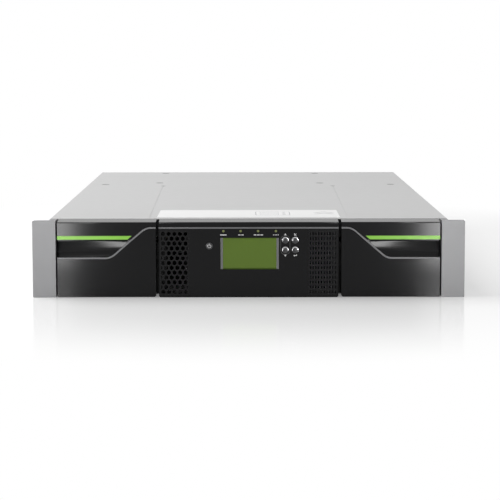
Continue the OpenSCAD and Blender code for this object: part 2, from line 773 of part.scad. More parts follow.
module motor(x, y) {
    translate([x, y, motor_z]) cylinder(d = motor_d, h = motor_h);
    translate([x, y, motor_z - 1.2]) cylinder(r = 4, h = 2);
}

module robot_motors() {
    color("dimgray") placed() translate([0, robot_y, 0]) {
        for (m = [[pinion_x, pinion_y], [-screw_x, screw_y]]) {
            motor(m[0], m[1]);
            slab(m[0] - 5, m[0] + 5, m[1] + motor_d / 2 - 0.2, m[1] + motor_d / 2 + 1, plate_z + plate_t, motor_z + 8);
        }
        translate([-screw_x, screw_y, disc_z]) cylinder(r = 3.7, h = 2.4);
        translate([-screw_x, screw_y, disc_z]) cylinder(r = 1.5, h = motor_z - disc_z);
    }
}

module lift_belt() {
    color("black") placed() translate([-screw_x, robot_y, disc_z]) difference() {
        hull() for (s = [-1, 1]) translate([0, s * screw_y, 0]) cylinder(r = 4.6, h = 2.4, $fn = 32);
        hull() for (s = [-1, 1]) translate([0, s * screw_y, -over]) cylinder(r = 3.8, h = 5, $fn = 32);
    }
}

module travel_pinion() {
    color("ivory") placed() translate([pinion_x, robot_y + pinion_y, disc_z]) {
        difference() {
            linear_extrude(height = 3) polygon([for (i = [0:pinion_teeth - 1]) for (p = pinion_tooth)
                let (a = i * 360 / pinion_teeth + 180 / pinion_teeth + p[1]) [p[0] * cos(a), p[0] * sin(a)]]);
            translate([0, 0, -over]) cylinder(r = 1, h = 1);
        }
        translate([0, 0, -0.9]) cylinder(r = 1.5, h = 5.6);
    }
}

// Radius and half angle along the flank of a pinion tooth
pinion_tooth = [
    [pinion_r - tooth_m * 1.2, -90 / pinion_teeth - 3.2],
    [pinion_r, -90 / pinion_teeth + 0.7],
    [pinion_r + tooth_m * 0.9, -90 / pinion_teeth + 3.4],
    [pinion_r + tooth_m * 0.9, 90 / pinion_teeth - 3.4],
    [pinion_r, 90 / pinion_teeth - 0.7],
    [pinion_r - tooth_m * 1.2, 90 / pinion_teeth + 3.2]];

module lift_screw() {
    color("silver") placed() translate([-screw_x, robot_y - screw_y, 0]) {
        translate([0, 0, plate_z]) cylinder(r = 1.5, h = 3);
        translate([0, 0, disc_z]) cylinder(r = 3.7, h = 2.4);
        translate([0, 0, disc_z]) cylinder(d = screw_d, h = post_top - disc_z - 0.2);
    }
}

nut_half = 3.5;
nut_rise = 0.4;
arm_half = 5;
bush_z = arm_z - 0.5;

module lift_frame() {
    ring_in = turntable_r + run;
    ring_out = ring_in + 5.2;
    web_in = ring_out - 1.1;
    color("gray") placed() translate([0, robot_y, 0]) {
        difference() {
            translate([0, 0, disc_z]) cylinder(r = ring_out, h = disc_t, $fn = 96);
            translate([0, 0, disc_z - over]) cylinder(r = ring_in, h = 4, $fn = 96);
        }
        for (i = [-1, 1]) for (j = [-1, 1]) difference() {
            union() {
                rotate([0, 0, atan2(j, i)]) {
                    slab(web_in, web_in + arm_t, -arm_half, arm_half, disc_z + disc_t / 2, arm_z + arm_t);
                    slab(web_in, post_at * sqrt(2), -arm_half, arm_half, arm_z, arm_z + arm_t);
                }
                translate([i * post_at, j * post_at, bush_z]) cylinder(r = post_d / 2 + 2, h = bush_h);
                if (i < 0 && j < 0) {
                    slab(-screw_x - nut_half, -post_at, -post_at, -screw_y, bush_z, arm_z + arm_t + nut_rise);
                    translate([-screw_x, -screw_y, bush_z]) cylinder(r = screw_d / 2 + 2.4, h = bush_h);
                }
            }
            translate([i * post_at, j * post_at, arm_z - over]) cylinder(r = post_d / 2 + 0.05, h = bush_h + 2);
            if (i < 0 && j < 0)
                translate([-screw_x, -screw_y, arm_z - over]) cylinder(r = screw_d / 2 + 0.05, h = bush_h + 2);
        }
    }
}

picker_rail = 30;
bed_top = disc_z + disc_t;
finger_z = slot_z + 1.4;
finger_h = 10;
beam_y = -57;
finger_tip = 10;

module turntable() {
    color("silver") placed() translate([0, robot_y, 0]) {
        difference() {
            translate([0, 0, disc_z]) cylinder(r = turntable_r, h = disc_t, $fn = 96);
            for (a = [90, 270]) rotate(a) translate([0, 0, disc_z - over])
                linear_extrude(height = 4) translate([8, -14]) square([44, 28]);
        }
        for (s = [-1, 1]) slab(s * picker_rail - 2, s * picker_rail + 2, -66, 66, bed_top, bed_top + 1.6);
    }
}

module picker() {
    rail_top = bed_top + 1.6;
    color("dimgray") placed() translate([0, robot_y, 0]) {
        for (s = [-1, 1]) slab(s * picker_rail - 6, s * picker_rail + 6, beam_y - 3, beam_y + 14,
            rail_top + 0.2, rail_top + 1.2);
        slab(-finger_in - finger_t, finger_in + finger_t, beam_y - 3, beam_y, rail_top + 0.2, finger_z + finger_h);
        for (s = [-1, 1]) side(s) {
            slab(finger_in, finger_in + finger_t, beam_y - 3, finger_tip, finger_z, finger_z + finger_h);
            translate([finger_in + 0.2, finger_tip - 3, finger_z + finger_h / 2]) rotate([0, -90, 0])
                cylinder(r1 = 2.4, r2 = 1.6, h = 1.6);
        }
    }
}

module barcode_reader() {
    color("darkred") placed() translate([0, robot_y, 0]) {
        slab(-16, 16, beam_y - 3 - 9, beam_y - 3, finger_z, finger_z + finger_h);
    }
}

// ---- drives and rear modules ----

module drive_cage() {
    cage_back = back_y - sheet_t;
    color("silver") placed() for (s = [-1, 1]) side(s) difference() {
        union() {
            slab(bay_half, bay_half + sheet_t, drive_y, cage_back, sheet_t, ceiling_z);
            slab(bay_half, bay_half + 58, drive_y, cage_back, ceiling_z - sheet_t, ceiling_z);
            slab(bay_half, bay_half + 12, drive_y, cage_back, sheet_t, 2 * sheet_t);
            slab(bay_half, psu_in - 1, cage_back - sheet_t, cage_back, sheet_t, ceiling_z);
        }
        rear_holes(cage_back - sheet_t);
        for (p = screw_spots) translate([s * p[0], p[1], ceiling_z - 2 * sheet_t]) cylinder(r = 1.6, h = 4);
    }
}

module tape_drive(z) {
    color("dimgray") placed() difference() {
        slab(-drive_w / 2, drive_w / 2, drive_y, back_y - 16, z, z + drive_h);
        slab(-mouth_w / 2, mouth_w / 2, drive_y - over, drive_y + mouth_d, z + mouth_rise,
            z + mouth_rise + mouth_h);
        side_profile(-mouth_w / 2, mouth_w / 2) polygon([[drive_y - over, z + mouth_rise - 3],
            [drive_y + 3, z + mouth_rise], [drive_y + 3, z + mouth_rise + mouth_h],
            [drive_y - over, z + mouth_rise + mouth_h + 3]]);
    }
}

module lower_drive() { tape_drive(drive_z); }
module upper_drive() { tape_drive(drive_z2); }

sled_fan_x = -38;

module drive_sled(z) {
    plate_y = back_y - sheet_t;
    top = z + drive_h;
    color("silver") placed() {
        difference() {
            slab(-bay_half + run, bay_half - run, plate_y, back_y, z, top);
            translate([sled_fan_x, 0, z + drive_h / 2]) front_profile(plate_y - over, back_y + over)
                hex_field(40, 30, vent_pitch, vent_hole);
            for (x = [26, 48]) slab(x, x + 16, plate_y - over, back_y + over, z + 12, z + 19);
        }
        for (s = [-1, 1]) side(s) slab(drive_w / 2 + 0.2, drive_w / 2 + 1.2, drive_y + 20, plate_y, z, top - 4);
        slab(-drive_w / 2 - 1, drive_w / 2 + 1, back_y - 16, back_y - 14, z, top - 4);
        for (x = [-8, 12]) slab(x, x + 4, back_y, back_y + handle_out, z + 14, z + 26);
        slab(-8, 16, back_y + handle_out - 4, back_y + handle_out, z + 14, z + 26);
        for (s = [-1, 1]) translate([s * (bay_half - 8), 0, z + drive_h / 2]) {
            along_y(0, 0, back_y, back_y + 9, 4.4);
        }
    }
}

module lower_drive_sled() { drive_sled(drive_z); }
module upper_drive_sled() { drive_sled(drive_z2); }

module power_supply() {
    color("silver") placed() difference() {
        slab(-psu_out, -psu_in, back_y - psu_d, back_y, psu_z, psu_z + psu_h);
        along_y(fan_x, fan_z, back_y - 22, back_y + over, fan_r);
        slab(inlet_x - 14, inlet_x + 14, back_y - 18, back_y + over, inlet_z - 10.5, inlet_z + 10.5);
    }
    color("silver") placed() along_y(fan_x, fan_z, back_y - 22, back_y - 18.5, 11);
}

module power_inlet() {
    color("black") placed() {
        difference() {
            slab(inlet_x - 13.8, inlet_x + 13.8, back_y - 17.5, back_y + 1, inlet_z - 10.3, inlet_z + 10.3);
            slab(inlet_x - 12, inlet_x + 12, back_y - 15, back_y + 2, inlet_z - 8, inlet_z + 8);
        }
        for (p = [[-7, -2], [0, 2], [7, -2]])
            slab(inlet_x + p[0] - 1, inlet_x + p[0] + 1, back_y - 16, back_y - 3, inlet_z + p[1] - 2,
                inlet_z + p[1] + 2);
    }
}

module fan_rotor() {
    color("black") placed() translate([fan_x, back_y - 17.5, fan_z]) rotate([-90, 0, 0]) {
        translate([0, 0, -0.7]) cylinder(r = 11, h = 13);
        for (a = [0:360 / 7:359]) rotate(a) intersection() {
            translate([9, -1, 6]) rotate([35, 0, 0]) cube([fan_r - 10.2, 1.6, 20], center = false);
            translate([0, 0, 0]) cylinder(r = fan_r - 1.2, h = 12);
        }
    }
}

module fan_guard() {
    color("silver") placed() translate([fan_x, back_y, fan_z]) rotate([-90, 0, 0]) {
        for (r = [8, 15, 22, fan_r]) rotate_extrude() translate([r, 1.8]) circle(r = 0.8, $fn = 16);
        for (a = [45:90:315]) rotate(a) translate([8, 0, 0.8]) rotate([0, 90, 0])
            cylinder(r = 0.8, h = fan_r + 3, $fn = 16);
    }
}

// Middle across and up, width and height of each port
port_spots = [[psu_in + 25, 60, 16, 14], [psu_in + 47, 60, 16, 14], [psu_in + 71, 60, 14, 7],
    [psu_in + 45, 30, 31, 10]];

module controller_module() {
    plate_y = back_y - sheet_t;
    color("silver") placed() {
        difference() {
            slab(psu_in, psu_out, plate_y, back_y, psu_z, psu_z + psu_h);
            for (p = port_spots) slab(p[0] - p[2] / 2 - 0.1, p[0] + p[2] / 2 + 0.1, plate_y - over, back_y + over,
                p[1] - p[3] / 2 - 0.1, p[1] + p[3] / 2 + 0.1);
        }
        slab(psu_in, psu_out, back_y - controller_d, back_y, psu_z, psu_z + sheet_t);
        slab(psu_in + 4, psu_out - 4, back_y - controller_d, plate_y, psu_z + board_rise,
            psu_z + board_rise + board_t);
    }
}

module port_connectors() {
    color("gray") placed() for (p = port_spots) difference() {
        slab(p[0] - p[2] / 2, p[0] + p[2] / 2, back_y - 18, back_y + 0.4, p[1] - p[3] / 2, p[1] + p[3] / 2);
        slab(p[0] - p[2] / 2 + 1.2, p[0] + p[2] / 2 - 1.2, back_y - 14, back_y + over, p[1] - p[3] / 2 + 1.2,
            p[1] + p[3] / 2 - 1.2);
    }
}

module rear_panel() {
    color("gainsboro") placed() difference() {
        slab(-inner_half, inner_half, back_y - sheet_t, back_y, sheet_t, ceiling_z - sheet_t);
        slab(-bay_half, bay_half, back_y - 2 * sheet_t, back_y + over, 0, ceiling_z);
        for (s = [-1, 1]) side(s) {
            slab(psu_in - fit, psu_out + fit, back_y - 2 * sheet_t, back_y + over, psu_z - fit,
                psu_z + psu_h + fit);
            rear_holes(back_y - sheet_t);
        }
    }
}

chassis_tray();
top_cover();
chassis_screws();
front_frame();
rear_panel();
left_ear_bracket();
right_ear_bracket();
left_ear_cover();
right_ear_cover();
control_bezel();
vent_grilles();
vent_screens();
centre_trim();
display_frame();
display();
status_lights();
keypad_board();
up_key();
down_key();
cancel_key();
enter_key();
power_button();
left_magazine_bezel();
left_magazine_stripe();
left_magazine_trim();
left_magazine_tray();
left_magazine_dividers();
left_magazine_shelves();
right_magazine_bezel();
right_magazine_stripe();
right_magazine_trim();
right_magazine_tray();
right_magazine_dividers();
right_magazine_shelves();
left_magazine_latch();
right_magazine_latch();
magazine_guides();
robot_rails();
carriage_frame();
lift_posts();
carriage_top();
robot_motors();
lift_belt();
travel_pinion();
lift_screw();
lift_frame();
turntable();
picker();
barcode_reader();
drive_cage();
lower_drive();
lower_drive_sled();
upper_drive();
upper_drive_sled();
power_supply();
power_inlet();
fan_rotor();
fan_guard();
controller_module();
port_connectors();
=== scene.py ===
"""Finishes, printed marks and stage for a rack-mount data tape library."""

import math

import bmesh
import bpy
from mathutils import Matrix, Vector


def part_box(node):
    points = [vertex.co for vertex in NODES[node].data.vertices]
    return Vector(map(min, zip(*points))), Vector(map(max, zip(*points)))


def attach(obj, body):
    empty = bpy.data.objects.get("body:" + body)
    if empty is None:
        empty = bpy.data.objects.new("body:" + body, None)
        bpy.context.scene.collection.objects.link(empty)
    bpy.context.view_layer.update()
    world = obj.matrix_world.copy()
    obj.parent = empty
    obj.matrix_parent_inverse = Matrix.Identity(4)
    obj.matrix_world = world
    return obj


bl_info = {
    "name": "Data tape library",
    "version": (1, 0, 0),
    "blender": (4, 5, 0),
    "location": "View3D > Sidebar > Tape Library",
    "description": "Finishes and fine pieces of a two-unit rack tape library",
    "category": "Object",
}

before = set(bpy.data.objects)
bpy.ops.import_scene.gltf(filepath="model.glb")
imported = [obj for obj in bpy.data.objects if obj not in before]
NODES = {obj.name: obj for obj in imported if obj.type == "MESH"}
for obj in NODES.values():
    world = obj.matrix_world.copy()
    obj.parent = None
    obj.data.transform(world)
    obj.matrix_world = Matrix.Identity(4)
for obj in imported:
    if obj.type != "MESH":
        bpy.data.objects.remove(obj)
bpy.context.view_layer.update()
MM = 0.001

# ---------------------------------------------------------------- places

PANEL_LOW, PANEL_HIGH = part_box("control_bezel")
COVER_LOW, COVER_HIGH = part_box("top_cover")
FRONT_Y = PANEL_LOW[1]
MIDDLE_X = (PANEL_LOW[0] + PANEL_HIGH[0]) / 2
TOP_Z = COVER_HIGH[2]
KEYS = ("up_key", "down_key", "cancel_key", "enter_key")

# ---------------------------------------------------------------- fine sizes

SUNK = 0.15 * MM  # print starts this far inside the face
INK = 0.05 * MM
RIM_RADIUS = 3.55 * MM
RIM_HIGHLIGHT_BREADTH = 1.05 * MM
RIM_RISE = 0.62 * MM
RIM_EDGE = 0.5 * MM
# The key rim is drawn only over this arc across each key's top, tapered from its breadth: a painted
# highlight of the ring where light falls.
RIM_HIGHLIGHT_START = math.radians(-22)
RIM_HIGHLIGHT_TURN = math.radians(224)
RIM_STEPS = 24
MARK_RADIUS = 2.1 * MM
MARK_LINE = 0.55 * MM
MARK_GAP = math.radians(64)
LENS_RADIUS = 1.7 * MM
LABEL_INK = 0.02 * MM


def middle(node):
    """Middle of a node's box."""
    low, high = (Vector(v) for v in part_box(node))
    return (low + high) / 2


# ---------------------------------------------------------------- materials


class Paint:
    """A material under construction: its principled shader and its node tree."""

    def __init__(self, name, colour, rough, metal=0.0, specular=0.5, coat=0.0):
        self.material = bpy.data.materials.new(name)
        self.material.use_nodes = True
        self.tree = self.material.node_tree
        self.shader = self.tree.nodes["Principled BSDF"]
        self.colour = (*colour[:3], 1.0)
        self.rough = rough
        self.shader.inputs["Base Color"].default_value = self.colour
        self.shader.inputs["Roughness"].default_value = rough
        self.shader.inputs["Metallic"].default_value = metal
        self.shader.inputs["Specular IOR Level"].default_value = specular
        self.shader.inputs["Coat Weight"].default_value = coat
        self.shader.inputs["Coat Roughness"].default_value = 0.12
        self.coords = self.tree.nodes.new("ShaderNodeTexCoord")

    def link(self, out, into):
        """Joins a node's output to another node's input."""
        self.tree.links.new(out, into)

    def mapped(self, stretch=(1, 1, 1)):
        """Object coordinates stretched along the axes."""
        mapping = self.tree.nodes.new("ShaderNodeMapping")
        mapping.inputs["Scale"].default_value = stretch
        self.link(self.coords.outputs["Object"], mapping.inputs["Vector"])
        return mapping.outputs["Vector"]

    def noise(self, scale, detail=2.0, stretch=(1, 1, 1)):
        """Noise over the object, in cycles a metre."""
        made = self.tree.nodes.new("ShaderNodeTexNoise")
        made.inputs["Scale"].default_value = scale
        made.inputs["Detail"].default_value = detail
        self.link(self.mapped(stretch), made.inputs["Vector"])
        return made.outputs["Fac"]

    def tinted(self, scale, amount, stretch=(1, 1, 1)):
        """The colour drifts lighter and darker over the surface by that share."""
        ramp = self.tree.nodes.new("ShaderNodeMapRange")
        ramp.inputs["To Min"].default_value = 1 - amount
        ramp.inputs["To Max"].default_value = 1 + amount
        self.link(self.noise(scale, 3.0, stretch), ramp.inputs["Value"])
        mix = self.tree.nodes.new("ShaderNodeMix")
        mix.data_type = "RGBA"
        mix.blend_type = "MULTIPLY"
        factor, first, second = (mix.inputs[i] for i in (0, 6, 7))
        factor.default_value = 1.0
        first.default_value = self.colour
        self.link(ramp.outputs["Result"], second)
        self.link(mix.outputs[2], self.shader.inputs["Base Color"])
        return self

    def uneven(self, scale, amount, stretch=(1, 1, 1)):
        """The roughness drifts over the surface by that amount."""
        ramp = self.tree.nodes.new("ShaderNodeMapRange")
        ramp.inputs["To Min"].default_value = max(0.02, self.rough - amount)
        ramp.inputs["To Max"].default_value = min(1.0, self.rough + amount)
        self.link(self.noise(scale, 4.0, stretch), ramp.inputs["Value"])
        self.link(ramp.outputs["Result"], self.shader.inputs["Roughness"])
        return self

    def grained(self, scale, depth, strength=0.35, stretch=(1, 1, 1)):
        """Fine grain of that depth in metres stands on the surface."""
        bump = self.tree.nodes.new("ShaderNodeBump")
        bump.inputs["Strength"].default_value = strength
        bump.inputs["Distance"].default_value = depth
        self.link(self.noise(scale, 2.0, stretch), bump.inputs["Height"])
        self.link(bump.outputs["Normal"], self.shader.inputs["Normal"])
        return self

    def glowing(self, strength):
        """The surface gives light in its own colour."""
        self.shader.inputs["Emission Color"].default_value = self.colour
        self.shader.inputs["Emission Strength"].default_value = strength
        return self


def finish(node, paint):
    """Gives a node its material."""
    materials = NODES[node].data.materials
    materials.clear()
    materials.append(paint.material)


def soften(node, width, segments=2):
    """Rounds a node's sharp edges by a modifier."""
    piece = NODES[node]
    weld = piece.modifiers.new("weld", "WELD")
    weld.merge_threshold = 1e-5
    bevel = piece.modifiers.new("edge_round", "BEVEL")
    bevel.width = width
    bevel.segments = segments
    bevel.limit_method = "ANGLE"
    bevel.angle_limit = math.radians(40)
    bevel.harden_normals = False
    bevel.use_clamp_overlap = True


# ---------------------------------------------------------------- meshes


def new_piece(name, mesh_maker, paint, body):
    """A mesh piece built by mesh_maker(bm) that rides on a body."""
    bm = bmesh.new()
    mesh_maker(bm)
    bmesh.ops.recalc_face_normals(bm, faces=bm.faces)
    mesh = bpy.data.meshes.new(name)
    bm.to_mesh(mesh)
    bm.free()
    piece = bpy.data.objects.new(name, mesh)
    bpy.context.scene.collection.objects.link(piece)
    mesh.materials.append(paint.material)
    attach(piece, body)
    return piece


def add_prism(bm, outline, low, high, place):
    """A closed prism of the outline's points (u, v), from low to high along w."""
    rings = [[bm.verts.new(place(u, v, w)) for u, v in outline] for w in (low, high)]
    bm.faces.new(rings[0])
    bm.faces.new(list(reversed(rings[1])))
    count = len(outline)
    for i in range(count):
        j = (i + 1) % count
        bm.faces.new((rings[0][i], rings[1][i], rings[1][j], rings[0][j]))


def add_band(bm, inner, outer, low, high, place):
    """A closed ring between two outlines with the same number of points."""
    loops = []
    for outline, w in ((inner, low), (outer, low), (outer, high), (inner, high)):
        loops.append([bm.verts.new(place(u, v, w)) for u, v in outline])
    count = len(inner)
    for k in range(4):
        a, b = loops[k], loops[(k + 1) % 4]
        for i in range(count):
            j = (i + 1) % count
            bm.faces.new((a[i], a[j], b[j], b[i]))


def on_front(u, v, w):
    """Front face: u from the middle to the right, v up, w out of the face."""
    return (MIDDLE_X + u, FRONT_Y - w, v)


def on_top(u, v, w):
    """Top face: u to the right, v back from the front face, w up."""
    return (MIDDLE_X + u, FRONT_Y + v, TOP_Z + w)


def circle(cx, cy, radius, count=32, start=0.0, turn=2 * math.pi):
    """Points of a circle, or of an arc when turn is less than a full one."""
    steps = count if turn >= 2 * math.pi - 1e-6 else count - 1
    angles = [start + turn * i / steps for i in range(count)]
    return [(cx + radius * math.cos(a), cy + radius * math.sin(a)) for a in angles]


def rounded(cx, cy, width, height, radius, count=5):
    """Points of a rectangle with round corners."""
    points = []
    for quarter, (sx, sy) in enumerate(((1, 1), (-1, 1), (-1, -1), (1, -1))):
        x = cx + sx * (width / 2 - radius)
        y = cy + sy * (height / 2 - radius)
        points += circle(x, y, radius, count, quarter * math.pi / 2, math.pi / 2)
    return points


# ---------------------------------------------------------------- settings


class TapeLibraryFinish(bpy.types.PropertyGroup):
    """Colours of the outside finishes."""

    cover: bpy.props.FloatVectorProperty(
        name="Cover", description="Paint of the chassis and its cover",
        subtype="COLOR", size=3, min=0, max=1, default=(0.545, 0.545, 0.545))
    ear: bpy.props.FloatVectorProperty(
        name="Ears", description="Plastic of the rack ear covers",
        subtype="COLOR", size=3, min=0, max=1, default=(0.225, 0.225, 0.232))
    front: bpy.props.FloatVectorProperty(
        name="Front", description="Plastic of the magazine fronts and the control panel",
        subtype="COLOR", size=3, min=0, max=1, default=(0.004, 0.004, 0.0045))
    stripe: bpy.props.FloatVectorProperty(
        name="Stripe", description="Coloured stripe over the finger recess",
        subtype="COLOR", size=3, min=0, max=1, default=(0.265, 0.62, 0.062))
    trim: bpy.props.FloatVectorProperty(
        name="Trim line", description="Silver grey line across the front",
        subtype="COLOR", size=3, min=0, max=1, default=(0.17, 0.17, 0.176))
    display: bpy.props.FloatVectorProperty(
        name="Display", description="Lit display",
        subtype="COLOR", size=3, min=0, max=1, default=(0.07, 0.115, 0.014))


class TapeLibraryLabel(bpy.types.PropertyGroup):
    """Sizes of the printed label on the cover."""

    width: bpy.props.FloatProperty(
        name="Width", description="Width of the label", default=208 * MM, unit="LENGTH", min=0.02)
    depth: bpy.props.FloatProperty(
        name="Depth", description="Depth of the label", default=91 * MM, unit="LENGTH", min=0.02)
    setback: bpy.props.FloatProperty(
        name="Set-back", description="From the front face to the label", default=39 * MM, unit="LENGTH")
    thickness: bpy.props.FloatProperty(
        name="Thickness", description="Thickness of the label", default=0.2 * MM, unit="LENGTH")


class TapeLibraryStage(bpy.types.PropertyGroup):
    """Camera and lamps."""

    focal: bpy.props.FloatProperty(
        name="Focal length", description="Lens of the camera, in millimetres", default=129.3, min=20)
    camera_x: bpy.props.FloatProperty(
        name="Camera to the right", description="From the middle of the front",
        default=-2.8 * MM, unit="LENGTH")
    camera_back: bpy.props.FloatProperty(
        name="Camera distance", description="From the front face",
        default=1990.8 * MM, unit="LENGTH")
    camera_z: bpy.props.FloatProperty(
        name="Camera height", description="From the floor", default=280.7 * MM, unit="LENGTH")
    tilt: bpy.props.FloatProperty(
        name="Tilt down", description="Angle of the view below level",
        default=math.radians(6.517), subtype="ANGLE")
    swing: bpy.props.FloatProperty(
        name="Swing right", description="Angle of the view to the right",
        default=math.radians(0.123), subtype="ANGLE")
    roll: bpy.props.FloatProperty(
        name="Roll", description="Roll of the camera", default=math.radians(-0.059), subtype="ANGLE")
    key_power: bpy.props.FloatProperty(
        name="Overhead power", description="Power of the overhead soft lamp", default=32, unit="POWER")
    side_power: bpy.props.FloatProperty(
        name="Side power", description="Power of each narrow side lamp", default=1.45, unit="POWER")
    fill_power: bpy.props.FloatProperty(
        name="Fill power", description="Power of the soft lamp over the camera", default=8, unit="POWER")
    world: bpy.props.FloatProperty(
        name="Surround", description="Strength of the surround light", default=0.4)


# ---------------------------------------------------------------- pieces


class TAPELIB_OT_chassis(bpy.types.Operator):
    """Finishes the chassis, its cover and its brackets"""

    bl_idname = "tapelib.chassis"
    bl_label = "Chassis"

    def execute(self, context):
        colours = context.scene.tapelib_finish
        cover = Paint("satin_grey_paint", colours.cover, 0.42, specular=0.15)
        cover.tinted(5, 0.02).uneven(60, 0.04).grained(2600, 0.00002, 0.25)
        for node in ("chassis_tray", "top_cover"):
            finish(node, cover)
        zinc = Paint("zinc_plated_sheet", (0.50, 0.51, 0.52), 0.38, metal=0.9)
        zinc.tinted(90, 0.10, (1, 1, 0.2)).uneven(240, 0.08)
        for node in ("rear_panel", "left_ear_bracket", "right_ear_bracket", "drive_cage"):
            finish(node, zinc)
        black = Paint("black_frame_paint", (0.012, 0.012, 0.013), 0.55)
        black.uneven(300, 0.06).grained(3000, 0.00003)
        finish("front_frame", black)
        # Real screws, with their steel colour made darker as painted shade in the cover's screw dimples.
        dimple_shade_screw = Paint("screw_steel_painted_dimple_shade", (0.10, 0.10, 0.105), 0.42, metal=0.9)
        dimple_shade_screw.uneven(900, 0.08)
        finish("chassis_screws", dimple_shade_screw)
        rail = Paint("dark_rail_moulding", (0.03, 0.03, 0.032), 0.45)
        rail.uneven(200, 0.06).grained(2200, 0.00003)
        for node in ("magazine_guides", "robot_rails"):
            finish(node, rail)
        soften("top_cover", 0.35 * MM)
        soften("chassis_tray", 0.3 * MM)
        return {"FINISHED"}


class TAPELIB_OT_ears(bpy.types.Operator):
    """Finishes the rack ear covers"""

    bl_idname = "tapelib.ears"
    bl_label = "Ear covers"

    def execute(self, context):
        ear = Paint("light_grey_ear_plastic", context.scene.tapelib_finish.ear, 0.48, specular=0.45)
        ear.tinted(14, 0.015).uneven(90, 0.03).grained(4200, 0.00003, 0.3)
        for side in ("left", "right"):
            finish(f"{side}_ear_cover", ear)
            soften(f"{side}_ear_cover", 0.4 * MM, 3)
        return {"FINISHED"}


def front_paint(context, name="charcoal_front_plastic"):
    """The dark satin plastic of the whole front."""
    paint = Paint(name, context.scene.tapelib_finish.front, 0.175, specular=0.15)
    return paint.uneven(70, 0.02).grained(3600, 0.000004, 0.1)


def trim_paint(context):
    """The silver grey line."""
    paint = Paint("silver_line_paint", context.scene.tapelib_finish.trim, 0.42, specular=0.3)
    return paint.uneven(160, 0.04)


class TAPELIB_OT_panel(bpy.types.Operator):
    """Finishes the control panel, its vents, display and lights"""

    bl_idname = "tapelib.panel"
    bl_label = "Control panel"

    def execute(self, context):
        colours = context.scene.tapelib_finish
        finish("control_bezel", front_paint(context, "charcoal_panel_plastic"))
        soften("control_bezel", 0.35 * MM)
        line = Paint("dull_line_paint", (0.11, 0.11, 0.115), 0.4)
        line.uneven(160, 0.04)
        finish("centre_trim", line)
        vent = Paint("black_vent_plastic", (0.005, 0.005, 0.0055), 0.28, specular=0.15)
        vent.uneven(200, 0.05)
        finish("vent_grilles", vent)
        mesh = Paint("dark_perforated_sheet", (0.022, 0.022, 0.023), 0.5, specular=0.2)
        mesh.uneven(400, 0.1)
        finish("vent_screens", mesh)
        glass = Paint("lit_display", colours.display, 0.22, specular=0.2)
        glass.tinted(24, 0.06).glowing(0.4)
        finish("display", glass)
        bars = Paint("grey_display_bars", (0.12, 0.12, 0.125), 0.4)
        bars.uneven(300, 0.05)
        finish("display_frame", bars)
        soften("display_frame", 0.3 * MM)
        lamps = Paint("status_light_lens", (0.17, 0.19, 0.05), 0.3)
        lamps.tinted(60, 0.4).glowing(0.1)
        finish("status_lights", lamps)
        board = Paint("green_circuit_board", (0.01, 0.09, 0.035), 0.45)
        board.tinted(500, 0.2).uneven(300, 0.1)
        finish("keypad_board", board)
        return {"FINISHED"}


class TAPELIB_OT_keys(bpy.types.Operator):
    """Finishes the push keys and the power button"""

    bl_idname = "tapelib.keys"
    bl_label = "Keys"

    def execute(self, context):
        cap = Paint("dark_key_plastic", (0.02, 0.02, 0.022), 0.3)
        cap.uneven(500, 0.05)
        for node in (*KEYS, "power_button"):
            finish(node, cap)
        # Real silver key rings, drawn only as crescents over each key's top: partly painted highlight.
        rim_highlight = Paint("silver_key_rim_highlight", (0.42, 0.42, 0.43), 0.28, metal=0.9)
        rim_highlight.uneven(800, 0.05)
        for node in KEYS:
            self.add_rim_highlight(node, rim_highlight)
        spot = middle("power_button")
        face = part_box("power_button")[0][1]

        def on_button(u, v, w):
            return (spot.x + u, face - w, spot.z + v)

        def symbol(bm):
            start = math.pi / 2 + MARK_GAP / 2
            turn = 2 * math.pi - MARK_GAP
            outer = circle(0, 0, MARK_RADIUS, 25, start, turn)
            inner = circle(0, 0, MARK_RADIUS - MARK_LINE, 25, start, turn)
            add_prism(bm, outer + list(reversed(inner)), -SUNK, INK, on_button)
            bar = rounded(0, 1.6 * MM, MARK_LINE, 2.2 * MM, 0.2 * MM)
            add_prism(bm, bar, -SUNK, INK, on_button)

        new_piece("power_mark", symbol, print_paint(), "power_button")
        return {"FINISHED"}

    def add_rim_highlight(self, node, paint):
        """A silver crescent that is broadest over the key's top: partly a real silver rim, partly painted
        highlight, since only the lit top of the ring is drawn, widest where the light falls.
        """
        spot = middle(node)

        def section(share):
            angle = RIM_HIGHLIGHT_START + RIM_HIGHLIGHT_TURN * share
            # Widest at the top and thin at the ends: painted highlight.
            broad = RIM_HIGHLIGHT_BREADTH * math.sin(math.pi * share) ** 0.4 + 0.05 * MM
            outer, crest, inner = RIM_RADIUS, RIM_RADIUS - broad / 2, RIM_RADIUS - broad
            points = ((outer, INK), (outer, RIM_EDGE), (crest, RIM_RISE), (inner, RIM_EDGE), (inner, INK))
            across, up = math.cos(angle), math.sin(angle)
            return [(spot.x + r * across, FRONT_Y - w, spot.z + r * up) for r, w in points]

        def highlight_crescent(bm):
            rows = []
            for k in range(RIM_STEPS + 1):
                rows.append([bm.verts.new(point) for point in section(k / RIM_STEPS)])
            for row, following in zip(rows, rows[1:]):
                for i in range(len(row)):
                    j = (i + 1) % len(row)
                    bm.faces.new((row[i], following[i], following[j], row[j]))
            bm.faces.new(rows[0])
            bm.faces.new(list(reversed(rows[-1])))

        new_piece(f"{node}_rim", highlight_crescent, paint, node)


def print_paint():
    """White printing ink."""
    paint = Paint("white_print", (0.62, 0.62, 0.62), 0.5)
    return paint.tinted(400, 0.05)


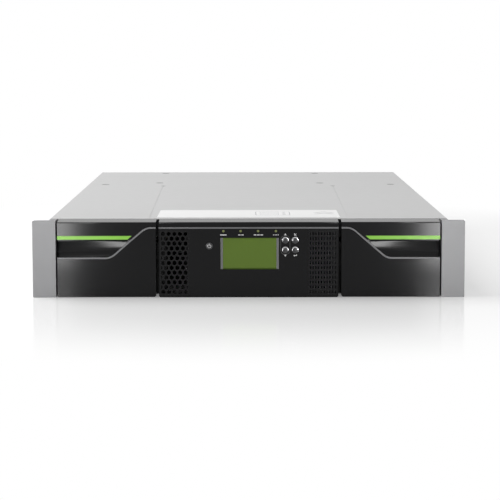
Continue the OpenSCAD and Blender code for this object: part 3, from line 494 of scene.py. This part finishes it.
class TAPELIB_OT_marks(bpy.types.Operator):
    """Prints the small generic marks of the control panel"""

    bl_idname = "tapelib.marks"
    bl_label = "Panel marks"

    def execute(self, context):
        new_piece("panel_marks", self.draw_marks, print_paint(), "chassis")
        faint = Paint("faint_grey_line", (0.09, 0.09, 0.09), 0.5)
        faint.tinted(300, 0.1)
        new_piece("key_pair_line", self.draw_oval, faint, "chassis")
        return {"FINISHED"}

    def draw_oval(self, bm):
        """A line around the pair of arrow keys."""
        up, down = middle("up_key"), middle("down_key")
        wide, line, corner = 10.6 * MM, 0.3 * MM, 5.2 * MM
        high = abs(up.z - down.z) + wide
        centre = (up.x - MIDDLE_X, (up.z + down.z) / 2)
        outer = rounded(*centre, wide, high, corner, 12)
        inner = rounded(*centre, wide - 2 * line, high - 2 * line, corner - line, 12)
        add_band(bm, inner, outer, 0, INK, on_front)

    def draw_marks(self, bm):
        """All white marks of the panel."""
        self.draw_bars(bm)
        self.draw_arrow(bm, middle("up_key"), 1)
        self.draw_arrow(bm, middle("down_key"), -1)
        self.draw_cross(bm, middle("cancel_key"))
        self.draw_return(bm, middle("enter_key"))

    def draw_bars(self, bm):
        """One bar under the first light, two under the second, and so on."""
        low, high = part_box("status_lights")
        widths = (7.2, 6.2, 10.5, 6.4)
        step = (high[0] - low[0] - 2 * LENS_RADIUS) / (len(widths) - 1)
        first = low[0] + LENS_RADIUS - MIDDLE_X
        level = (low[2] + high[2]) / 2 - 4.2 * MM
        gap = 0.8 * MM
        for k, width in enumerate(widths):
            bars = k + 1
            bar = (width * MM - gap * (bars - 1)) / bars
            left = first + k * step - width * MM / 2
            for i in range(bars):
                centre = left + bar / 2 + i * (bar + gap)
                outline = rounded(centre, level, bar, 1.1 * MM, 0.3 * MM)
                add_prism(bm, outline, 0, INK, on_front)

    def draw_arrow(self, bm, spot, sign):
        """A small triangle over or under a key."""
        x, z = spot.x - MIDDLE_X, spot.z + sign * 6.5 * MM
        half, foot, tip = 1.3 * MM, sign * 1 * MM, sign * 1.2 * MM
        add_prism(bm, [(x - half, z - foot), (x + half, z - foot), (x, z + tip)], 0, INK, on_front)

    def draw_cross(self, bm, spot):
        """Two crossed bars over a key, one a hair higher than the other."""
        x, z = spot.x - MIDDLE_X, spot.z + 6 * MM
        long, thin = 1.7 * MM, 0.3 * MM
        arm = ((long, thin), (-long, thin), (-long, -thin), (long, -thin))
        for angle, lift in ((45, 0.005 * MM), (-45, 0)):
            c, s = math.cos(math.radians(angle)), math.sin(math.radians(angle))
            outline = [(x + c * a - s * b, z + s * a + c * b) for a, b in arm]
            add_prism(bm, outline, 0, INK + lift, on_front)

    def draw_return(self, bm, spot):
        """A bent arrow under a key."""
        x, z = spot.x - MIDDLE_X, spot.z - 6.3 * MM
        head = [(-0.7, -0.35), (-0.7, -1.1), (-1.9, 0), (-0.7, 1.1), (-0.7, 0.35)]
        tail = [(1.3, 0.35), (1.3, 1.4), (2, 1.4), (2, -0.35)]
        outline = [(x + a * MM, z + b * MM) for a, b in head + tail]
        add_prism(bm, outline, 0, INK, on_front)


class TAPELIB_OT_magazines(bpy.types.Operator):
    """Finishes both magazines and their latches"""

    bl_idname = "tapelib.magazines"
    bl_label = "Magazines"

    def execute(self, context):
        colours = context.scene.tapelib_finish
        front = front_paint(context)
        trim = trim_paint(context)
        stripe = Paint("green_stripe_plastic", colours.stripe, 0.35, specular=0.2)
        stripe.tinted(18, 0.04)
        tray = Paint("dark_tray_plastic", (0.045, 0.045, 0.048), 0.45)
        tray.uneven(120, 0.05).grained(2400, 0.00003)
        shelf = Paint("grey_shelf_plastic", (0.10, 0.10, 0.105), 0.45)
        shelf.uneven(120, 0.05).grained(2400, 0.00003)
        latch = Paint("yellow_zinc_latch", (0.55, 0.42, 0.14), 0.32, metal=0.9)
        latch.uneven(500, 0.08)
        for side in ("left", "right"):
            finish(f"{side}_magazine_bezel", front)
            finish(f"{side}_magazine_trim", trim)
            finish(f"{side}_magazine_stripe", stripe)
            finish(f"{side}_magazine_tray", tray)
            finish(f"{side}_magazine_dividers", shelf)
            finish(f"{side}_magazine_shelves", shelf)
            finish(f"{side}_magazine_latch", latch)
            soften(f"{side}_magazine_bezel", 0.3 * MM)
            soften(f"{side}_magazine_trim", 0.25 * MM)
        return {"FINISHED"}


class TAPELIB_OT_robot(bpy.types.Operator):
    """Finishes the picker robot"""

    bl_idname = "tapelib.robot"
    bl_label = "Robot"

    def execute(self, context):
        sheet = Paint("brushed_aluminium", (0.55, 0.56, 0.57), 0.32, metal=1.0)
        sheet.tinted(40, 0.06, (1, 12, 1)).uneven(500, 0.08, (1, 14, 1))
        steel = Paint("ground_steel", (0.62, 0.62, 0.63), 0.18, metal=1.0)
        steel.uneven(700, 0.05, (6, 6, 1))
        black = Paint("black_motor_can", (0.02, 0.02, 0.022), 0.38, metal=0.3)
        black.uneven(300, 0.06)
        belt = Paint("black_belt_rubber", (0.012, 0.012, 0.012), 0.7)
        belt.grained(1800, 0.0001, 0.6)
        gear = Paint("natural_gear_plastic", (0.70, 0.67, 0.58), 0.4)
        gear.uneven(600, 0.05)
        grip = Paint("dark_picker_plastic", (0.05, 0.05, 0.055), 0.42)
        grip.uneven(200, 0.06).grained(2400, 0.00003)
        reader = Paint("red_reader_window", (0.16, 0.008, 0.01), 0.15)
        reader.uneven(300, 0.03)
        for node in ("carriage_frame", "carriage_top", "lift_frame", "turntable"):
            finish(node, sheet)
        for node in ("lift_posts", "lift_screw"):
            finish(node, steel)
        finish("robot_motors", black)
        finish("lift_belt", belt)
        finish("travel_pinion", gear)
        finish("picker", grip)
        finish("barcode_reader", reader)
        return {"FINISHED"}


class TAPELIB_OT_rear(bpy.types.Operator):
    """Finishes the drives, the power supply and the controller"""

    bl_idname = "tapelib.rear"
    bl_label = "Rear modules"

    def execute(self, context):
        zinc = Paint("bright_zinc_module", (0.56, 0.57, 0.58), 0.34, metal=0.9)
        zinc.tinted(80, 0.08).uneven(220, 0.07)
        case = Paint("dark_drive_case", (0.04, 0.04, 0.043), 0.45)
        case.uneven(150, 0.06).grained(2400, 0.00003)
        socket = Paint("black_socket_plastic", (0.012, 0.012, 0.013), 0.4)
        socket.uneven(300, 0.05)
        plated = Paint("plated_port_shell", (0.60, 0.60, 0.60), 0.28, metal=1.0)
        plated.uneven(500, 0.06)
        for node in ("lower_drive_sled", "upper_drive_sled", "power_supply", "controller_module"):
            finish(node, zinc)
        for node in ("lower_drive", "upper_drive"):
            finish(node, case)
        for node in ("power_inlet", "fan_rotor"):
            finish(node, socket)
        for node in ("port_connectors", "fan_guard"):
            finish(node, plated)
        return {"FINISHED"}


class TAPELIB_OT_label(bpy.types.Operator):
    """Lays the printed label on the cover"""

    bl_idname = "tapelib.label"
    bl_label = "Cover label"

    def execute(self, context):
        sizes = context.scene.tapelib_label
        paper = Paint("white_label_film", (0.86, 0.86, 0.86), 0.5)
        paper.tinted(30, 0.01)
        centre = sizes.setback + sizes.depth / 2

        def film(bm):
            outline = rounded(0, centre, sizes.width, sizes.depth, 2 * MM)
            add_prism(bm, outline, 0.01 * MM, sizes.thickness, on_top)

        new_piece("cover_label", film, paper, "chassis")
        ink = Paint("pale_grey_print", (0.42, 0.42, 0.43), 0.55)
        ink.tinted(300, 0.1)

        low = sizes.thickness
        high = low + LABEL_INK

        def outlined(bm, x, v, wide, deep, corner, line):
            outer = rounded(x, v, wide, deep, corner)
            inner = rounded(x, v, wide - 2 * line, deep - 2 * line, corner - line / 2)
            add_band(bm, inner, outer, low, high, on_top)

        def marks(bm):
            """A framed column of three boxes with dots, and two roof lines beside it."""
            row = sizes.setback + sizes.depth * 0.52
            outlined(bm, 28 * MM, row, 40 * MM, 46 * MM, 5 * MM, 0.9 * MM)
            for offset in (13, 0, -13):
                v = row + offset * MM
                outlined(bm, 24 * MM, v, 22 * MM, 8 * MM, 2 * MM, 0.6 * MM)
                add_prism(bm, circle(41 * MM, v, 2.2 * MM, 16), low, high, on_top)
            roof = [(79, 0), (87.5, 8), (96, 0), (100, 0), (87.5, 12), (75, 0)]
            for offset in (-8, 8):
                outline = [(x * MM, row + (v + offset) * MM) for x, v in roof]
                add_prism(bm, outline, low, high, on_top)

        new_piece("label_print", marks, ink, "chassis")
        return {"FINISHED"}


class TAPELIB_OT_stage(bpy.types.Operator):
    """Sets up the floor, the surround, the lamps and the camera"""

    bl_idname = "tapelib.stage"
    bl_label = "Stage"

    def execute(self, context):
        settings = context.scene.tapelib_stage
        self.floor()
        self.surround(settings)
        self.lamps(settings)
        self.camera(context, settings)
        context.scene.view_settings.view_transform = "Standard"
        return {"FINISHED"}

    def floor(self):
        """A pale polished floor that turns plain white away from the object."""
        mesh = bpy.data.meshes.new("floor")
        half = 8.0
        corners = [(-half, -half, 0), (half, -half, 0), (half, half, 0), (-half, half, 0)]
        mesh.from_pydata(corners, [], [(0, 1, 2, 3)])
        floor = bpy.data.objects.new("floor", mesh)
        bpy.context.scene.collection.objects.link(floor)
        material = bpy.data.materials.new("pale_floor")
        material.use_nodes = True
        tree = material.node_tree
        tree.nodes.clear()
        add, link = tree.nodes.new, tree.links.new
        out = add("ShaderNodeOutputMaterial")
        base = add("ShaderNodeBsdfDiffuse")
        base.inputs["Color"].default_value = (0.84, 0.84, 0.84, 1)
        gloss = add("ShaderNodeBsdfGlossy")
        gloss.inputs["Roughness"].default_value = 0.10
        gloss.inputs["Color"].default_value = (1, 1, 1, 1)
        polished = add("ShaderNodeMixShader")
        polished.inputs["Fac"].default_value = 0.26
        link(base.outputs[0], polished.inputs[1])
        link(gloss.outputs[0], polished.inputs[2])
        path = add("ShaderNodeLightPath")
        seen = add("ShaderNodeMath")
        seen.operation = "MAXIMUM"
        link(path.outputs["Is Camera Ray"], seen.inputs[0])
        link(path.outputs["Is Glossy Ray"], seen.inputs[1])
        shown = add("ShaderNodeMath")
        shown.operation = "MAXIMUM"
        link(seen.outputs[0], shown.inputs[0])
        link(path.outputs["Is Transmission Ray"], shown.inputs[1])
        lift = add("ShaderNodeMath")
        lift.operation = "MULTIPLY"
        lift.inputs[1].default_value = 0.17
        link(shown.outputs[0], lift.inputs[0])
        glow = add("ShaderNodeEmission")
        link(lift.outputs[0], glow.inputs["Strength"])
        near = add("ShaderNodeAddShader")
        link(polished.outputs[0], near.inputs[0])
        link(glow.outputs[0], near.inputs[1])
        coords = add("ShaderNodeTexCoord")
        reach = add("ShaderNodeVectorMath")
        reach.operation = "LENGTH"
        link(coords.outputs["Object"], reach.inputs[0])
        fade = add("ShaderNodeMapRange")
        fade.interpolation_type = "SMOOTHSTEP"
        fade.inputs["From Min"].default_value = 0.50
        fade.inputs["From Max"].default_value = 0.85
        link(reach.outputs["Value"], fade.inputs["Value"])
        far_share = add("ShaderNodeMath")
        far_share.operation = "MULTIPLY"
        link(fade.outputs["Result"], far_share.inputs[0])
        link(shown.outputs[0], far_share.inputs[1])
        white = add("ShaderNodeEmission")
        whole = add("ShaderNodeMixShader")
        link(far_share.outputs[0], whole.inputs["Fac"])
        link(near.outputs[0], whole.inputs[1])
        link(white.outputs[0], whole.inputs[2])
        link(whole.outputs[0], out.inputs["Surface"])
        mesh.materials.append(material)

    def surround(self, settings):
        """White to the camera and in reflections, and dimmer as a light."""
        world = bpy.data.worlds.new("surround")
        bpy.context.scene.world = world
        world.use_nodes = True
        tree = world.node_tree
        tree.nodes.clear()
        out = tree.nodes.new("ShaderNodeOutputWorld")
        sky = tree.nodes.new("ShaderNodeBackground")
        path = tree.nodes.new("ShaderNodeLightPath")
        sky.inputs["Color"].default_value = (1, 1, 1, 1)
        seen = tree.nodes.new("ShaderNodeMath")
        seen.operation = "MAXIMUM"
        shown = tree.nodes.new("ShaderNodeMath")
        shown.operation = "MAXIMUM"
        level = tree.nodes.new("ShaderNodeMapRange")
        level.inputs["To Min"].default_value = settings.world
        level.inputs["To Max"].default_value = 1.0
        link = tree.links.new
        link(path.outputs["Is Camera Ray"], seen.inputs[0])
        link(path.outputs["Is Glossy Ray"], seen.inputs[1])
        link(seen.outputs[0], shown.inputs[0])
        link(path.outputs["Is Transmission Ray"], shown.inputs[1])
        link(shown.outputs[0], level.inputs["Value"])
        link(level.outputs["Result"], sky.inputs["Strength"])
        link(sky.outputs[0], out.inputs["Surface"])

    def lamps(self, settings):
        """A soft lamp over the left side, one over the camera, and two strips at the ears."""
        lean = (0, math.radians(-38), 0)
        self.lamp("overhead_lamp", (-1.3, 0.1, 1.6), lean, 1.6, 2.2, settings.key_power)
        nod = (math.radians(52), 0, 0)
        place = (0, FRONT_Y - 1.9, 1.5)
        fill = self.lamp("front_fill", place, nod, 1.6, 0.8, settings.fill_power)
        fill.visible_glossy = False
        half = (COVER_HIGH[0] - COVER_LOW[0]) / 2
        for side in (-1, 1):
            place = (side * (half + 0.033), FRONT_Y - 0.30, 0.15)
            power = settings.side_power * (1.2 if side > 0 else 1)
            upright = (math.radians(90), 0, 0)
            strip = self.lamp(f"side_strip_{side}", place, upright, 0.06, 0.30, power)
            strip.visible_diffuse = False

    def lamp(self, name, place, turn, width, height, power):
        """An area lamp that the camera doesn't see."""
        light = bpy.data.lights.new(name, "AREA")
        light.shape = "RECTANGLE"
        light.size = width
        light.size_y = height
        light.energy = power
        lamp = bpy.data.objects.new(name, light)
        lamp.location = place
        lamp.rotation_euler = turn
        lamp.visible_camera = False
        bpy.context.scene.collection.objects.link(lamp)
        return lamp

    def camera(self, context, settings):
        """The camera in front, a little over the object."""
        data = bpy.data.cameras.new("camera")
        data.lens = settings.focal
        data.sensor_width = 36
        data.clip_end = 100
        camera = bpy.data.objects.new("camera", data)
        turn = Matrix.Rotation(-settings.swing, 4, "Z")
        turn @= Matrix.Rotation(math.pi / 2 - settings.tilt, 4, "X")
        turn @= Matrix.Rotation(settings.roll, 4, "Z")
        x, y = MIDDLE_X + settings.camera_x, FRONT_Y - settings.camera_back
        camera.matrix_world = Matrix.Translation((x, y, settings.camera_z)) @ turn
        context.scene.collection.objects.link(camera)
        context.scene.camera = camera


class TAPELIB_PT_panel(bpy.types.Panel):
    """Lists the pieces and their settings"""

    bl_idname = "TAPELIB_PT_panel"
    bl_label = "Tape Library"
    bl_space_type = "VIEW_3D"
    bl_region_type = "UI"
    bl_category = "Tape Library"

    def draw(self, context):
        layout = self.layout
        for group_name in GROUPS:
            group = getattr(context.scene, group_name)
            box = layout.box()
            for name in group.__annotations__:
                box.prop(group, name)
        for operator in OPERATORS:
            layout.operator(operator.bl_idname)


OPERATORS = (
    TAPELIB_OT_chassis,
    TAPELIB_OT_ears,
    TAPELIB_OT_panel,
    TAPELIB_OT_keys,
    TAPELIB_OT_marks,
    TAPELIB_OT_magazines,
    TAPELIB_OT_robot,
    TAPELIB_OT_rear,
    TAPELIB_OT_label,
    TAPELIB_OT_stage,
)
GROUPS = {
    "tapelib_finish": TapeLibraryFinish,
    "tapelib_label": TapeLibraryLabel,
    "tapelib_stage": TapeLibraryStage,
}


def register():
    """Adds the settings, the operators and the panel to Blender."""
    for group in GROUPS.values():
        bpy.utils.register_class(group)
    for operator in OPERATORS:
        bpy.utils.register_class(operator)
    bpy.utils.register_class(TAPELIB_PT_panel)
    for name, group in GROUPS.items():
        setattr(bpy.types.Scene, name, bpy.props.PointerProperty(type=group))


def unregister():
    """Takes them away again."""
    for name in GROUPS:
        delattr(bpy.types.Scene, name)
    bpy.utils.unregister_class(TAPELIB_PT_panel)
    for operator in reversed(OPERATORS):
        bpy.utils.unregister_class(operator)
    for group in reversed(list(GROUPS.values())):
        bpy.utils.unregister_class(group)


def main():
    """Registers the settings and runs every operator once."""
    register()
    for operator in OPERATORS:
        space, name = operator.bl_idname.split(".")
        getattr(getattr(bpy.ops, space), name)()


if __name__ == "__main__":
    main()
